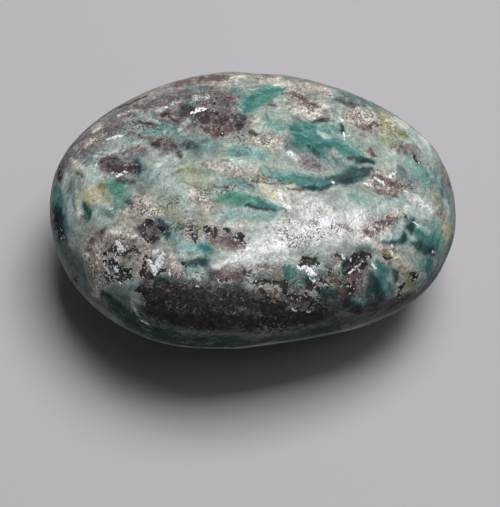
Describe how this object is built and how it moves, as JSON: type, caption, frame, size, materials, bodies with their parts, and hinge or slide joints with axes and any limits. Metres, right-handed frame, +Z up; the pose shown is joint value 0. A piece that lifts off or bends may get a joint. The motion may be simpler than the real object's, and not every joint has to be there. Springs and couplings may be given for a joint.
{
  "type": "polished fuchsite with kyanite stone",
  "caption": "Tumbled and polished pebble of green fuchsite mica rock with teal kyanite blades and dark mica, oval, resting on a small flat spot.",
  "frame": {"origin": "on the table under the middle of the stone's footprint", "axes": "+X along the stone's long axis, +Y towards its back, +Z up"},
  "size_m": [0.0324, 0.0238, 0.0153],
  "materials": {
    "fuchsite_kyanite_stone": "tumbled and polished to a soft gloss, mottled pale green, teal, cream and dark brown"
  },
  "bodies": {
    "root": {"polished_stone": "fuchsite_kyanite_stone"}
  },
  "joints": []
}
